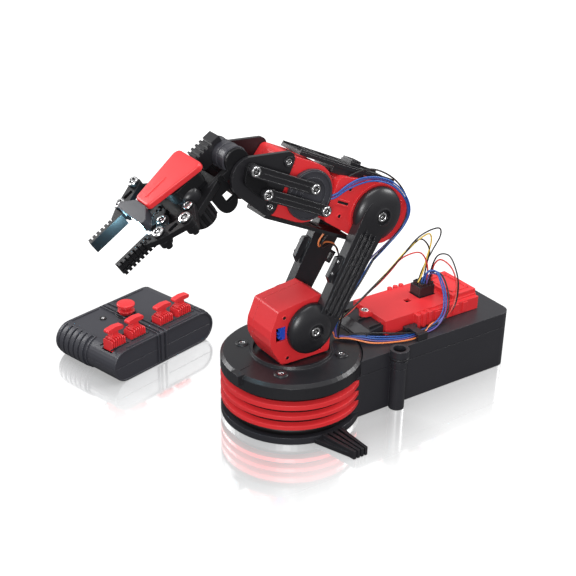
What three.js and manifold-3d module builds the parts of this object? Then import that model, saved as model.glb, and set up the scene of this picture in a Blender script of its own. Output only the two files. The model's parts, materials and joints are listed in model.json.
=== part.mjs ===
// A desk-top robot arm on a battery base, with its hand-held controller. Millimetres, +Z up.
// The origin is on the floor under the turret. The arm reaches along -Y, the battery box runs along +Y,
// and +X is the arm's right side. Each link has its own group, turned about X at its own pivot.
import * as THREE from 'three';
import { mergeVertices } from 'three/addons/utils/BufferGeometryUtils.js';
import Module from 'manifold-3d';

const wasm = await Module();
wasm.setup();

// ---------------------------------------------------------------- driving dimensions
const GAP = 0.3; // between pieces that rest on or cut each other
const WALL = 2.2; // moulded wall of the base and the controller
const SHELL = 1.8; // moulded wall of the gearbox halves

const RING_R = 50.7; // round front of the base
const CORE_R = 44.5;
const CAP_R = 50.8;
const CAP_BOTTOM = 36.2;
const CAP_TOP = 47.2;
const OPENING_R = 27.5;
const BOX_HALF = 39.1; // half the width of the battery box
const BOX_BACK = 177;
const BOX_CORNER = 9;
const LID_SEAM = 34;
const LID_TOP = 46;
const CELL_R = 16.5; // D cells
const CELL_LENGTH = 60;
const LEG_REACH = 80;

const SHOULDER_Y = 3.6;
const SHOULDER_Z = 71.4;
const UPPER_LENGTH = 91; // shoulder axis to elbow axis
const FOREARM_LENGTH = 112.5; // elbow axis to wrist axis
const CRANK_PLACE = 62.5; // elbow axis to crank axis
const ROD_LENGTH = FOREARM_LENGTH - CRANK_PLACE;
const WRIST_RISE = -0.3; // both wrist axes lie this far above the forearm's centre line
const UPPER_TILT = -35.7; // degrees about X, leaning back
const FOREARM_TILT = -24.9; // degrees about X, rising forward
const HAND_TILT = 34; // degrees about X, dipping forward

const HALF_BOX = 15; // half the width of a gearbox
const BOX_SEAM = -8; // x of the joint between a gearbox's halves
const PLATE_IN = 16.2; // inner face of an upper arm plate
const PLATE_OUT = 23.6;
const SHAFT_R = 4;
const BORE_R = 4.4;
const PIN_R = 2.2;
const PIN_BORE = 2.55;
const PIN_END = 25.2; // how far out the crank pins reach

const GEAR_MODULE = 1.06;
const FINGER_GEAR_TEETH = 20;
const GEAR_CENTRE = (GEAR_MODULE * FINGER_GEAR_TEETH) / 2; // each finger gear's distance from the middle
const OUTPUT_TEETH = 16;
const IDLER_TEETH = 14;

const CONTROLLER_LENGTH = 104;
const CONTROLLER_DEPTH = 67;
const CONTROLLER_HEIGHT = 26;

// ---------------------------------------------------------------- materials
const RED = { color: 0xd8322f, roughness: 0.32, metalness: 0 };
const BLACK = { color: 0x2a292e, roughness: 0.5, metalness: 0 };
const CHARCOAL = { color: 0x44434b, roughness: 0.48, metalness: 0 };
const BLUE = { color: 0x2b50c8, roughness: 0.4, metalness: 0 };
const GREEN = { color: 0x1d6b3c, roughness: 0.6, metalness: 0.1 };
const STEEL = { color: 0xb9bbc0, roughness: 0.3, metalness: 0.9 };
const CELL = { color: 0x8a7a45, roughness: 0.4, metalness: 0.4 };
const LENS = { color: 0xcfe8ff, roughness: 0.1, metalness: 0 };

// ---------------------------------------------------------------- solids
function signedVolume(points, faces) {
  const [a, b, c] = [new THREE.Vector3(), new THREE.Vector3(), new THREE.Vector3()];
  let total = 0;
  for (let i = 0; i < faces.length; i += 3) {
    a.fromArray(points, 3 * faces[i]);
    b.fromArray(points, 3 * faces[i + 1]);
    c.fromArray(points, 3 * faces[i + 2]);
    total += a.dot(b.cross(c));
  }
  return total;
}

function toSolid(geometry) {
  geometry.deleteAttribute('normal');
  geometry.deleteAttribute('uv');
  const merged = mergeVertices(geometry, 1e-4);
  const points = merged.attributes.position.array;
  const index = merged.index.array;
  const faces = [];
  for (let i = 0; i < index.length; i += 3) {
    const [a, b, c] = index.slice(i, i + 3);
    if (a !== b && b !== c && c !== a) faces.push(a, b, c);
  }
  if (signedVolume(points, faces) < 0) faces.reverse();
  const mesh = new wasm.Mesh({
    numProp: 3,
    vertProperties: new Float32Array(points),
    triVerts: new Uint32Array(faces),
  });
  return new wasm.Manifold(mesh);
}

const AXES = {
  x: new THREE.Matrix4().makeBasis(
    new THREE.Vector3(0, 1, 0), new THREE.Vector3(0, 0, 1), new THREE.Vector3(1, 0, 0)),
  y: new THREE.Matrix4().makeBasis(
    new THREE.Vector3(1, 0, 0), new THREE.Vector3(0, 0, 1), new THREE.Vector3(0, -1, 0)),
  z: new THREE.Matrix4(),
};

// Extrudes a shape along an axis. The shape lies in (y, z) for x, in (x, z) for y and in (x, y) for z.
function prism(axis, shape, from, to) {
  const low = Math.min(from, to);
  const high = Math.max(from, to);
  const geometry = new THREE.ExtrudeGeometry(shape, {
    depth: high - low,
    bevelEnabled: false,
    curveSegments: 8,
  });
  geometry.translate(0, 0, axis === 'y' ? -high : low);
  geometry.applyMatrix4(AXES[axis]);
  return toSolid(geometry);
}

function block(xs, ys, zs) {
  const size = [xs, ys, zs].map(([a, b]) => Math.abs(b - a));
  const middle = [xs, ys, zs].map(([a, b]) => (a + b) / 2);
  return toSolid(new THREE.BoxGeometry(...size).translate(...middle));
}

function circle(a, b, radius, sides = 32) {
  const shape = new THREE.Shape();
  for (let i = 0; i < sides; i++) {
    const angle = (2 * Math.PI * i) / sides;
    const [p, q] = [a + radius * Math.cos(angle), b + radius * Math.sin(angle)];
    if (i === 0) shape.moveTo(p, q);
    else shape.lineTo(p, q);
  }
  shape.closePath();
  return shape;
}

function rod(axis, radius, from, to, a = 0, b = 0, sides = 24) {
  return prism(axis, circle(a, b, radius, sides), from, to);
}

function polygon(points) {
  const shape = new THREE.Shape();
  points.forEach(([a, b], i) => (i === 0 ? shape.moveTo(a, b) : shape.lineTo(a, b)));
  shape.closePath();
  return shape;
}

// The tight outline round a set of circles, each given as [a, b, radius].
function outline(circles, inset = 0, sides = 24) {
  const points = [];
  for (const [a, b, radius] of circles) {
    for (let i = 0; i < sides; i++) {
      const angle = (2 * Math.PI * i) / sides;
      const r = Math.max(radius - inset, 0.05);
      points.push([a + r * Math.cos(angle), b + r * Math.sin(angle)]);
    }
  }
  points.sort((p, q) => p[0] - q[0] || p[1] - q[1]);
  const turn = (o, p, q) => (p[0] - o[0]) * (q[1] - o[1]) - (p[1] - o[1]) * (q[0] - o[0]);
  const half = (list) => {
    const chain = [];
    for (const p of list) {
      while (chain.length > 1 && turn(chain.at(-2), chain.at(-1), p) < 1e-6) chain.pop();
      chain.push(p);
    }
    return chain.slice(0, -1);
  };
  return polygon([...half(points), ...half(points.toReversed())]);
}

// Turns a profile of [radius, height] points about the Z or the X axis through (a, b).
function turned(axis, profile, a = 0, b = 0, sides = 48) {
  const points = profile.map(([r, h]) => new THREE.Vector2(r, h));
  const geometry = new THREE.LatheGeometry(points, sides);
  if (axis === 'z') geometry.rotateX(Math.PI / 2).translate(a, b, 0);
  else geometry.rotateZ(-Math.PI / 2).translate(0, a, b);
  return toSolid(geometry);
}

function union(...solids) {
  return solids.reduce((whole, next) => whole.add(next));
}

function cut(solid, ...tools) {
  return tools.reduce((left, tool) => left.subtract(tool), solid);
}

// Involute gear outline about (a, b). Phase turns it, in teeth.
function gear(teeth, a, b, phase = 0) {
  const pitch = (GEAR_MODULE * teeth) / 2;
  const base = pitch * Math.cos(THREE.MathUtils.degToRad(20));
  const backlash = 0.36;
  const involute = (r) => {
    const angle = Math.acos(Math.min(1, base / r));
    return Math.tan(angle) - angle;
  };
  const halfAngle = (r) =>
    (Math.PI * GEAR_MODULE / 2 - backlash) / 2 / pitch + involute(pitch) - involute(Math.max(r, base));
  const root = pitch - 1.3 * GEAR_MODULE;
  const tip = pitch + 0.9 * GEAR_MODULE;
  const radii = [root, pitch, tip];
  const points = [];
  for (let i = 0; i < teeth; i++) {
    const middle = (2 * Math.PI * (i + phase)) / teeth;
    const rising = radii.map((r) => [r, middle - halfAngle(r)]);
    const falling = radii.toReversed().map((r) => [r, middle + halfAngle(r)]);
    for (const [r, angle] of [...rising, ...falling]) {
      points.push([a + r * Math.cos(angle), b + r * Math.sin(angle)]);
    }
  }
  return polygon(points);
}

const model = new THREE.Group();

function group(parent, y, z, tilt = 0) {
  const made = new THREE.Group();
  made.position.set(0, y, z);
  made.rotation.x = THREE.MathUtils.degToRad(tilt);
  parent.add(made);
  return made;
}

function part(parent, name, solid, material) {
  const { vertProperties, triVerts } = solid.getMesh();
  const geometry = new THREE.BufferGeometry();
  geometry.setAttribute('position', new THREE.BufferAttribute(vertProperties, 3));
  geometry.setIndex(new THREE.BufferAttribute(triVerts, 1));
  geometry.computeVertexNormals();
  const mesh = new THREE.Mesh(geometry, new THREE.MeshStandardMaterial(material));
  mesh.name = name;
  parent.add(mesh);
}

const SIDES = [['right', 1], ['left', -1]];

// ---------------------------------------------------------------- base
const POST = { x: 42.5, y: 64.5, r: 5.8, collar: 7.1, bore: 4.8, top: 48.5 };

function boxOutline(half, front, back, corner) {
  const shape = new THREE.Shape();
  shape.moveTo(-half, front);
  shape.lineTo(half, front);
  shape.lineTo(half, back - corner);
  shape.absarc(half - corner, back - corner, corner, 0, Math.PI / 2, false);
  shape.lineTo(-half + corner, back);
  shape.absarc(-half + corner, back - corner, corner, Math.PI / 2, Math.PI, false);
  shape.closePath();
  return shape;
}

const BAY_FRONT = 47.5;
const BAY_BACK = BOX_BACK - WALL;
const DOOR = { half: 33, front: 54, back: 171, thick: 1.6 };

function baseTray() {
  const box = boxOutline(BOX_HALF, 0, BOX_BACK, BOX_CORNER);
  const shoulder = prism('z', box, 0, CAP_BOTTOM - GAP).intersect(rod('z', RING_R - GAP, 0, 60, 0, 0, 64));
  const outer = union(
    rod('z', RING_R, 0, 5, 0, 0, 64),
    rod('z', CORE_R, 0, CAP_BOTTOM - GAP, 0, 0, 48),
    prism('z', box, 0, LID_SEAM - GAP),
    shoulder,
    rod('z', POST.r, 0, LID_SEAM - GAP, POST.x, POST.y),
  );
  return cut(
    outer,
    rod('z', CORE_R - 2.5, WALL, 60, 0, 0, 48),
    prism('z', boxOutline(BOX_HALF - WALL, BAY_FRONT, BAY_BACK, BOX_CORNER - WALL), WALL, 60),
    block([-DOOR.half, DOOR.half], [DOOR.front, DOOR.back], [-1, 3]),
    rod('z', POST.bore, 20, 60, POST.x, POST.y),
  );
}

function batteryLid() {
  const shellTop = union(
    prism('z', boxOutline(BOX_HALF, 20, BOX_BACK, BOX_CORNER), LID_SEAM + 0.1, LID_TOP),
    rod('z', POST.r, LID_SEAM + 0.1, 43, POST.x, POST.y),
    rod('z', POST.collar, 43, POST.top, POST.x, POST.y),
    rod('z', POST.collar - 0.4, 38, 40, POST.x, POST.y),
  );
  const cavity = prism(
    'z', boxOutline(BOX_HALF - WALL, 53.5, BAY_BACK, BOX_CORNER - WALL), LID_SEAM - 1, LID_TOP - 2.5);
  const ramp = polygon([[51.5, LID_TOP - 1], [69.6, LID_TOP - 1], [69.6, 54], [58, 52.5], [52, 47.5]]);
  const clip = union(
    block([21.5, 25], [84, 95], [LID_TOP - 1, 51]),
    block([21.5, 35.5], [86.5, 92.5], [49.2, 51]),
  );
  return cut(
    union(shellTop, prism('x', ramp, -20, 16.5), clip),
    cavity,
    rod('z', CAP_R + GAP, 0, 80, 0, 0, 64),
    rod('z', POST.bore, 0, 80, POST.x, POST.y),
  );
}

function ringCap() {
  const profile = [
    [OPENING_R, 43.5], [OPENING_R, 49.7], [29.3, 49.7], [30, CAP_TOP + 0.4], [48.6, CAP_TOP], [CAP_R, 45],
    [CAP_R, CAP_BOTTOM], [48.4, CAP_BOTTOM], [48.4, 43.5], [OPENING_R, 43.5],
  ];
  let cap = union(
    turned('z', profile, 0, 0, 64),
    block([4, 13], [-52.6, -47], [40, 47.9]),
  );
  for (const x of [-25.5, 25.5]) {
    for (const y of [-25.5, 25.5]) {
      cap = cap.add(rod('z', 4.2, 43.6, 48.6, x, y)).subtract(rod('z', 2.7, 46.2, 60, x, y));
    }
  }
  return cap;
}

function redRings() {
  const core = 46.4;
  const ribs = [[10.6, 16], [18.7, 24], [26.5, 32.5]];
  const profile = [[CORE_R + GAP, 5.3], [core, 5.3]];
  for (const [low, high] of ribs) {
    profile.push([core, low], [RING_R, low + 1.2], [RING_R, high - 1.2], [core, high]);
  }
  profile.push([core, 35.9], [CORE_R + GAP, 35.9], [CORE_R + GAP, 5.3]);
  const half = BOX_HALF + GAP;
  return turned('z', profile, 0, 0, 48).subtract(block([-half, half], [0, 60], [0, 60]));
}

function leg(side) {
  const foot = (a, b) => [side * a, b];
  const root = [-15, 13];
  const tip = [-2, 10.5];
  const toe = LEG_REACH - 3.5;
  const plate = polygon([foot(44, root[0]), foot(toe, tip[0]), foot(toe, tip[1]), foot(44, root[1])]);
  let solid = prism('z', plate, 0, 3.4);
  const ribs = 4;
  for (let i = 0; i < ribs; i++) {
    const share = (i + 0.5) / ribs;
    const [y0, y1] = [root[0] + 5 + share * 20, tip[0] + share * 12.5];
    const rib = [foot(46, y0 - 1.3), foot(LEG_REACH - 0.2, y1 - 1), foot(LEG_REACH - 0.2, y1 + 1), foot(46, y0 + 1.3)];
    solid = solid.add(prism('z', polygon(rib), 0, 6.4));
  }
  return cut(
    solid,
    rod('z', RING_R + GAP, -1, 5.4, 0, 0, 64),
    rod('z', RING_R + GAP, 5.2, 20, 0, 0, 64),
  );
}

function receiverCover() {
  const outer = union(
    block([-21, 19], [70, 157], [LID_TOP + GAP, 58]),
    block([-21, 22], [96, 157], [LID_TOP + GAP, 56.5]),
    block([-18, 18], [134, 157], [56, 61.5]),
    rod('z', 4.3, 54.6, 58, -3, 67),
    block([-7.3, 1.3], [67, 71], [54.6, 58]),
  );
  const inside = union(
    block([-19, 17], [72, 155], [LID_TOP - 1, 56]),
    block([-16, 16], [136, 155], [LID_TOP - 1, 59.5]),
  );
  let cover = cut(
    outer,
    inside,
    block([-10, 3.5], [114, 130], [50, 70]),
    block([-1.5, 3], [102, 107], [50, 70]),
    rod('z', 1.6, 50, 70, -3, 67),
  );
  for (const y of [97.5, 103, 108.5]) {
    cover = cover.add(block([18, 23.6], [y - 1.4, y + 1.4], [LID_TOP + GAP, 57.2]));
    cover = cover.add(rod('z', 2, 50, 58.8, -22, y + 8, 16));
  }
  return cover;
}

const base = group(model, 0, 0);
part(base, 'base_tray', baseTray(), BLACK);
part(base, 'battery_lid', batteryLid(), BLACK);
part(base, 'ring_cap', ringCap(), BLACK);
part(base, 'red_ring_band', redRings(), RED);
part(
  base, 'battery_door',
  block([GAP - DOOR.half, DOOR.half - GAP], [DOOR.front + GAP, DOOR.back - GAP], [GAP, GAP + DOOR.thick]), BLACK);
for (const [name, side] of SIDES) {
  part(base, `leg_${name}`, leg(side), BLACK);
  for (const [place, front] of [['front', 53.9], ['rear', 114.3]]) {
    const cell = union(
      rod('y', CELL_R, front, front + CELL_LENGTH - 1.2, side * 17.4, 19.2),
      rod('y', 5, front + CELL_LENGTH - 1.3, front + CELL_LENGTH, side * 17.4, 19.2),
    );
    part(base, `cell_${place}_${name}`, cell, CELL);
  }
}
part(base, 'receiver_cover', receiverCover(), RED);
const receiverBoard = union(
  block([-17, 15], [74, 153], [48, 49.6]),
  block([-9, 2.5], [115, 129], [49.5, 66]),
);
part(base, 'receiver_board', receiverBoard, BLACK);
part(base, 'yaw_gearbox', prism('z', outline([[-8, -10, 14], [8, -10, 14], [0, 16, 13]]), 2.6, 30.6), BLACK);

// ---------------------------------------------------------------- gearboxes
// Half of a gearbox: a cup open at the seam, with a bore for its output shaft.
function gearboxHalf(side, circles, shaftY, shaftZ) {
  return cut(
    prism('x', outline(circles), BOX_SEAM + side * GAP / 2, side * HALF_BOX),
    prism('x', outline(circles, SHELL), BOX_SEAM - side, side * (HALF_BOX - SHELL)),
    rod('x', BORE_R, side * 5, side * 20, shaftY, shaftZ),
  );
}

// The output gear with its shaft, along X through (y, z).
function outputGear(y, z) {
  return union(
    prism('x', gear(OUTPUT_TEETH, y, z), 10.4, 12.9),
    rod('x', SHAFT_R, -(PLATE_IN - GAP), PLATE_IN - GAP, y, z),
  );
}

function motor(y, z) {
  return union(rod('x', 7.2, -9.5, 6, y, z), rod('x', 1.5, 5.9, 9, y, z, 12));
}

// ---------------------------------------------------------------- turret
const turret = group(model, 0, 0);
const TURNTABLE = [
  [0, 31.3], [17, 31.3], [17, 38.6], [33, 38.6], [33, 43.1], [OPENING_R - 0.4, 43.1], [OPENING_R - 0.4, 46],
  [0, 46],
];
const IDLER_DISTANCE = (GEAR_MODULE * (OUTPUT_TEETH + IDLER_TEETH)) / 2;
const IDLER_Y = SHOULDER_Y - IDLER_DISTANCE;
const SHOULDER_BOX = [
  [-5.5, 69.5, 22.3], [-20, 87.5, 2], [12, 92, 2], [22.5, 84, 2], [20, 49, 2], [-17, 49, 2],
];
part(turret, 'turntable', turned('z', TURNTABLE, 0, 0, 48), BLACK);
const gearWindow = block([11, 16], [-23, -14.5], [66, 77]);
part(turret, 'shoulder_housing_right', gearboxHalf(1, SHOULDER_BOX, SHOULDER_Y, SHOULDER_Z).subtract(gearWindow), RED);
part(turret, 'shoulder_housing_left', gearboxHalf(-1, SHOULDER_BOX, SHOULDER_Y, SHOULDER_Z), RED);
part(turret, 'shoulder_motor', motor(-9, 57), STEEL);
// Puts a gap of the idler where the tilted output gear has a tooth.
const idlerPhase = ((180 - UPPER_TILT) / 360) * OUTPUT_TEETH - 0.5;
const idlerGear = union(
  prism('x', gear(IDLER_TEETH, IDLER_Y, SHOULDER_Z, idlerPhase), 10.4, 12.9),
  rod('x', 2, 6, 13, IDLER_Y, SHOULDER_Z, 16),
);
part(turret, 'shoulder_idler_gear', idlerGear, BLUE);

// ---------------------------------------------------------------- upper arm
const upperArm = group(model, SHOULDER_Y, SHOULDER_Z, UPPER_TILT);

// Domed boss at each end of an arm plate, with a screw recess in the middle.
function dome(side, radius, z) {
  const profile = [
    [0, PLATE_IN], [radius, PLATE_IN], [radius, 18], [radius * 0.94, 20.2], [radius * 0.81, 22.2],
    [radius * 0.62, 23.9], [7.4, 25], [5.4, 25.4], [5.4, 23.2], [0, 23.2],
  ];
  return turned('x', profile.map(([r, h]) => [r, side * h]), 0, z, 32);
}

function upperPlate(side) {
  const bar = outline([[6.3, 2, 8.6], [-3.2, UPPER_LENGTH - 2, 12.2]]);
  let plate = union(
    prism('x', bar, side * PLATE_IN, side * PLATE_OUT),
    prism('x', polygon([[-9, 34], [-13.6, 37], [-15.2, 52], [-9, 55]]), side * 18.4, side * 21.6),
  );
  for (const across of [-4.6, 0, 4.6]) {
    const lean = (-3.2 - 6.3) / (UPPER_LENGTH - 4);
    const line = (z) => 6.3 + lean * (z - 2) + across;
    const groove = polygon([
      [line(14) - 1.3, 14], [line(14) + 1.3, 14], [line(80) + 1.3, 80], [line(80) - 1.3, 80],
    ]);
    plate = plate.subtract(prism('x', groove, side * (PLATE_OUT - 2), side * 30));
  }
  plate = union(plate, dome(side, 18.8, 0), dome(side, 19.6, UPPER_LENGTH));
  return plate;
}

for (const [name, side] of SIDES) part(upperArm, `upper_arm_plate_${name}`, upperPlate(side), BLACK);
part(upperArm, 'shoulder_output_gear', outputGear(0, 0), BLUE);
part(upperArm, 'elbow_output_gear', outputGear(0, UPPER_LENGTH), BLUE);

// ---------------------------------------------------------------- forearm
// Local -Y runs from the elbow towards the hand.
const forearm = group(upperArm, 0, UPPER_LENGTH, FOREARM_TILT - UPPER_TILT);
const ELBOW_BOX = [[-2, 0, 21.3], [8.3, 0, 21.3], [-36.5, 13, 4.5], [-36.5, -11, 4.5]];
const WRIST_BOX = [
  [-CRANK_PLACE, 0, 20.5], [-86, 16, 4.4], [-86, -16, 4.4], [-89.5, 10, 2.5], [-89.5, -10, 2.5],
];
for (const [name, side] of SIDES) {
  part(forearm, `elbow_housing_${name}`, gearboxHalf(side, ELBOW_BOX, 0, 0), RED);
  part(forearm, `wrist_housing_${name}`, gearboxHalf(side, WRIST_BOX, -CRANK_PLACE, WRIST_RISE), RED);
}
part(forearm, 'elbow_motor', motor(13, 6), STEEL);
part(forearm, 'wrist_motor', motor(-79, 4), STEEL);

function rail(low, high, from, to, slots) {
  let solid = block([-11, 11], [-to, -from], [low, high]);
  for (const place of slots) solid = solid.subtract(block([-5, 5], [-place - 7, -place], [low - 1, high + 1]));
  return solid;
}
const RAIL_IN = 21.7;
const RAIL_OUT = 24.2;
const clipBlock = block([-4, 7], [-30, -21], [RAIL_OUT - 0.5, RAIL_OUT + 3.4]);
part(forearm, 'top_rail', rail(RAIL_IN, RAIL_OUT, -10, 77, [2, 42, 66]).add(clipBlock), BLACK);
part(forearm, 'bottom_rail', rail(-RAIL_OUT, -RAIL_IN, 6, 85, [30, 56]), BLACK);

const WRIST_PLATE = [[-FOREARM_LENGTH, WRIST_RISE, 13.7], [-90, 17.2, 5.5], [-90, -15.6, 5.5]];
for (const [name, side] of SIDES) {
  const plate = cut(
    prism('x', outline(WRIST_PLATE), side * (HALF_BOX + 0.4), side * 18.1),
    rod('x', BORE_R, side * 10, side * 20, -FOREARM_LENGTH, WRIST_RISE),
  );
  part(forearm, `wrist_plate_${name}`, plate, BLACK);
}

// ---------------------------------------------------------------- wrist crank and rods
// The crank and the hand carry the same pair of pins, so the two rods keep them parallel.
const UPPER_PIN = { y: -3, z: 5.6 };
const LOWER_PIN = { y: 12.6, z: -6.3 };
const PINS = [UPPER_PIN, LOWER_PIN];
const crank = group(forearm, -CRANK_PLACE, WRIST_RISE);

function pins(side, from, places) {
  return places.map(({ y, z }) => rod('x', PIN_R, side * from, side * PIN_END, y, z, 16));
}

function crankDisc(side) {
  const raised = PINS.map(({ y, z }) => rod('x', 3.8, side * 18.8, side * 21.5, y, z));
  return union(
    rod('x', 17.5, side * (PLATE_IN + 0.1), side * 18.9, 0, 0, 40),
    rod('x', 8, side * 18.8, side * 20.6),
    ...raised,
    ...pins(side, 21.4, PINS),
  );
}
const crankShaft = rod('x', SHAFT_R, -(PLATE_IN - GAP), PLATE_IN + 0.2);
part(crank, 'crank_right', crankDisc(1).add(crankShaft), CHARCOAL);
part(crank, 'crank_left', crankDisc(-1), CHARCOAL);

const rods = { upper: UPPER_PIN, lower: LOWER_PIN };
for (const [level, pin] of Object.entries(rods)) {
  const rodGroup = group(forearm, pin.y - CRANK_PLACE, pin.z + WRIST_RISE);
  for (const [name, side] of SIDES) {
    const bar = cut(
      prism('x', outline([[0, 0, 3.9], [-ROD_LENGTH, 0, 3.9]]), side * 21.9, side * 24.9),
      rod('x', PIN_BORE, side * 20, side * 30, 0, 0, 16),
      rod('x', PIN_BORE, side * 20, side * 30, -ROD_LENGTH, 0, 16),
    );
    part(rodGroup, `${level}_rod_${name}`, bar, BLACK);
  }
}

// ---------------------------------------------------------------- hand
// Local -Y runs from the wrist axis towards the finger tips, and the fingers move in the plane of X and Y.
const WRIST_BEND = HAND_TILT - FOREARM_TILT;
const hand = group(forearm, -FOREARM_LENGTH, WRIST_RISE, WRIST_BEND);

function inHand({ y, z }) {
  const angle = -THREE.MathUtils.degToRad(WRIST_BEND);
  return { y: y * Math.cos(angle) - z * Math.sin(angle), z: y * Math.sin(angle) + z * Math.cos(angle) };
}
const HAND_PINS = PINS.map(inHand);

const DRIVE = { x: GEAR_CENTRE, y: -58.8 }; // hand pivot of a driving link
const IDLE = { x: 18.8, y: -42.2 }; // hand pivot of an idling link
const LINK = { x: 15.2, y: -8.7 }; // from a hand pivot to its finger pivot
const LINK_LOW = 13.5;
const LINK_HIGH = 17.6;
const DECK_LOW = 9;
const DECK_HIGH = 13.1;

function handBracket() {
  const ear = outline([[0, 0, 7.5], [0, 13.5, 8.2]]);
  const lug = outline([[-16, 9.5, 4], [-23, 9.5, 4], [-19.5, -6, 7]]);
  const deck = outline([
    [DRIVE.x, DRIVE.y, 5], [-DRIVE.x, DRIVE.y, 5], [IDLE.x, IDLE.y, 5], [-IDLE.x, IDLE.y, 5],
    [12, -19, 2.8], [-12, -19, 2.8],
  ]);
  let bracket = union(
    rod('x', SHAFT_R, -19, 19),
    prism('z', deck, DECK_LOW, DECK_HIGH),
  );
  for (const [, side] of SIDES) {
    const crankArm = outline([[0, 0, 6], ...HAND_PINS.map(({ y, z }) => [y, z, 4.2])]);
    bracket = union(
      bracket,
      prism('x', ear, side * 12.6, side * 14.8),
      block([side * 12.6, side * 14.8], [-13, -4], [8, 13.5]),
      block([side * 9.8, side * 12.7], [-22, -9.3], [8, 13.5]),
      prism('x', lug, side * 9.8, side * 12.7),
      prism('x', crankArm, side * 18.6, side * 21.5),
      ...pins(side, 21.4, HAND_PINS),
      rod('z', PIN_R, DECK_HIGH - 0.1, LINK_HIGH + 0.6, side * DRIVE.x, DRIVE.y, 16),
      rod('z', PIN_R, DECK_HIGH - 0.1, LINK_HIGH + 0.6, side * IDLE.x, IDLE.y, 16),
    );
    bracket = bracket.subtract(block([side * 8, side * 12.8], [-19.8, -14], [-5.5, 1.5]));
  }
  return bracket.subtract(block([-9.3, 9.3], [-38.3, -21.7], [0, 30]));
}

function gripperGearbox() {
  const roof = outline([[9, -25, 3.5], [-9, -25, 3.5], [7, -40, 6], [-7, -40, 6]]);
  return union(
    rod('z', 8.4, -7, DECK_LOW - GAP, 7, -36.5, 32),
    block([-9, 9], [-38, -22], [2, 20]),
    prism('z', roof, 18.2, 26.4),
  );
}

function motorCap() {
  let solid = block([-12.3, -1.5], [-16, 4], [14, 26]).subtract(rod('x', 9.1, -20, 5, 0, 13.5));
  for (const y of [-14, -10.5, -7, -3.5]) {
    solid = solid.subtract(block([-13, -0.5], [y - 0.9, y + 0.9], [24.4, 27]));
  }
  return solid;
}

function handCover() {
  const corners = [[11.4, -22, 3.5], [-11.4, -22, 3.5], [5.8, -57.6, 2.5], [-5.8, -57.6, 2.5]];
  return cut(
    prism('z', outline(corners), 26.9, 31),
    prism('z', outline(corners, SHELL), 26, 29.2),
  );
}

function lampNose() {
  const corners = [[5.6, -62.6, 2], [-5.6, -62.6, 2], [14.2, -68.6, 2.4], [-14.2, -68.6, 2.4]];
  return cut(
    prism('z', outline(corners), 23, 30.4),
    prism('z', outline([[9, -66.5, 3], [-9, -66.5, 3], [9, -76, 3], [-9, -76, 3]]), 20, 28.6),
  );
}

part(hand, 'hand_bracket', handBracket(), BLACK);
part(hand, 'gripper_motor_housing', rod('x', 8.7, -12.3, 12.3, 0, 13.5, 36), CHARCOAL);
part(hand, 'gripper_motor_cap', motorCap(), BLACK);
part(hand, 'gripper_gearbox', gripperGearbox(), BLACK);
part(hand, 'hand_cover', handCover(), RED);
part(hand, 'lamp_nose', lampNose(), CHARCOAL);
part(hand, 'lamp_lens', rod('y', 3.4, -70.4, -64.2, 0, 24.6), LENS);

// ---------------------------------------------------------------- gripper links and fingers
const FINGER_INNER = 17; // inner face of a finger at rest
const FINGER_ROOT = -72;
const FINGER_TIP = -98.5;
const FINGER_LOW = 14.6;
const FINGER_HIGH = 22.9;

function linkHole(x, y) {
  return rod('z', PIN_BORE, LINK_LOW - 1, LINK_HIGH + 1, x, y, 16);
}

// A driving link turns with its own sector of gear; the two sectors mesh on the hand's centre line.
function driveLink(side) {
  const [x, y] = [side * DRIVE.x, DRIVE.y];
  const phase = side > 0 ? 0 : 0.5;
  const reach = 14;
  const keep = polygon([
    [x, y], [x - side * reach * 0.7, y - reach * 1.4], [x - side * reach * 1.4, y],
    [x - side * reach, y + reach * 1.2],
  ]);
  const sector = prism('z', gear(FINGER_GEAR_TEETH, x, y, phase), LINK_LOW, LINK_HIGH)
    .intersect(prism('z', keep, 0, 40));
  const arm = prism('z', outline([[x, y, 4.4], [x + side * LINK.x, y + LINK.y, 4.1]]), LINK_LOW, LINK_HIGH);
  return cut(union(sector, arm), linkHole(x, y), linkHole(x + side * LINK.x, y + LINK.y));
}

function idleLink(side) {
  const [x, y] = [side * IDLE.x, IDLE.y];
  const arm = prism('z', outline([[x, y, 4.1], [x + side * LINK.x, y + LINK.y, 4.1]]), LINK_LOW, LINK_HIGH);
  return cut(arm, linkHole(x, y), linkHole(x + side * LINK.x, y + LINK.y));
}

function finger(side) {
  const front = [side * (DRIVE.x + LINK.x), DRIVE.y + LINK.y];
  const rear = [side * (IDLE.x + LINK.x), IDLE.y + LINK.y];
  const inner = side * FINGER_INNER;
  let solid = union(
    block([inner, inner + side * 2.2], [FINGER_TIP, FINGER_ROOT], [FINGER_LOW, FINGER_HIGH]),
    block([inner, inner + side * 3.2], [FINGER_TIP, FINGER_ROOT], [FINGER_LOW + 3.3, FINGER_HIGH - 3.3]),
    prism('z', outline([[...front, 4.4], [...rear, 4.4]]), 18.2, 22),
    prism('z', outline([[...front, 4.4], [side * 19.3, -74.4, 2.3], [side * 21.4, -76, 2.6]]), 18.2, 22),
  );
  const teeth = 8;
  for (let i = 0; i < teeth; i++) {
    const y = FINGER_TIP + ((i + 0.18) * (FINGER_ROOT - FINGER_TIP)) / teeth;
    for (const low of [FINGER_LOW, FINGER_HIGH - 3.6]) {
      solid = solid.add(block([inner, inner + side * 4.8], [y, y + 2.1], [low, low + 3.6]));
    }
  }
  for (const [x, y] of [front, rear]) {
    solid = union(solid, rod('z', PIN_R, 10.4, 18.4, x, y, 16), rod('z', 3.7, 21.9, 24, x, y));
  }
  const slot = [(front[0] + rear[0]) / 2, (front[1] + rear[1]) / 2];
  return solid.subtract(block([slot[0] - 1.6, slot[0] + 1.6], [slot[1] - 3.4, slot[1] + 3.4], [17, 23]));
}

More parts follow.
